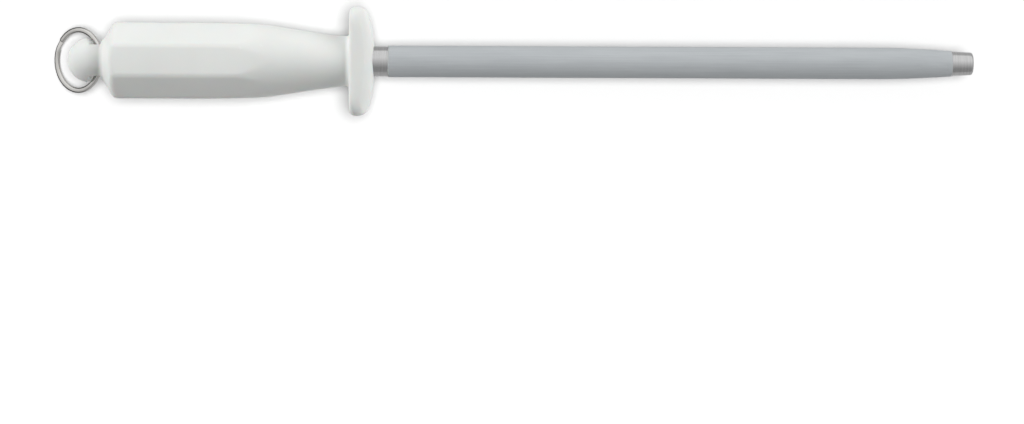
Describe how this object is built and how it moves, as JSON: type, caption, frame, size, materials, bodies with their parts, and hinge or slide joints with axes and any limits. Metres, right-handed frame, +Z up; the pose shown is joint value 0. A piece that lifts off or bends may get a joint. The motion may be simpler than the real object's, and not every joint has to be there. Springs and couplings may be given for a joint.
{
  "type": "knife sharpening steel",
  "caption": "Round rod for honing knives, moulded into an eight-sided plastic handle with a domed guard and a ball knob that carries a split ring for hanging.",
  "frame": {"origin": "centre of the whole object's footprint, on the surface that it lies on: below the rod's axis, midway between the hanging ring's far edge and the rod's tip", "axes": "+X along the rod towards its tip, +Y along the guard and the ring's swing axis, +Z up from the flat of the grip that the steel lies on"},
  "size_m": [0.3864, 0.0454, 0.0318],
  "materials": {
    "handle_plastic": "satin moulded polypropylene, white",
    "core_plastic": "as moulded, unpigmented",
    "rod_steel": "matte grey working surface with polished root and tip",
    "ring_metal": "bright nickel plate"
  },
  "bodies": {
    "steel": {"sharpening_rod": "rod_steel", "handle": "handle_plastic", "handle_core": "core_plastic"},
    "ring": {"split_ring": "ring_metal"}
  },
  "joints": [
    {"name": "ring_swing", "type": "hinge", "parent": "steel", "child": "ring", "pos_m": [-0.17213, 0, 0.0159], "axis": [0, 1, 0], "range_deg": [-60, 135]}
  ]
}
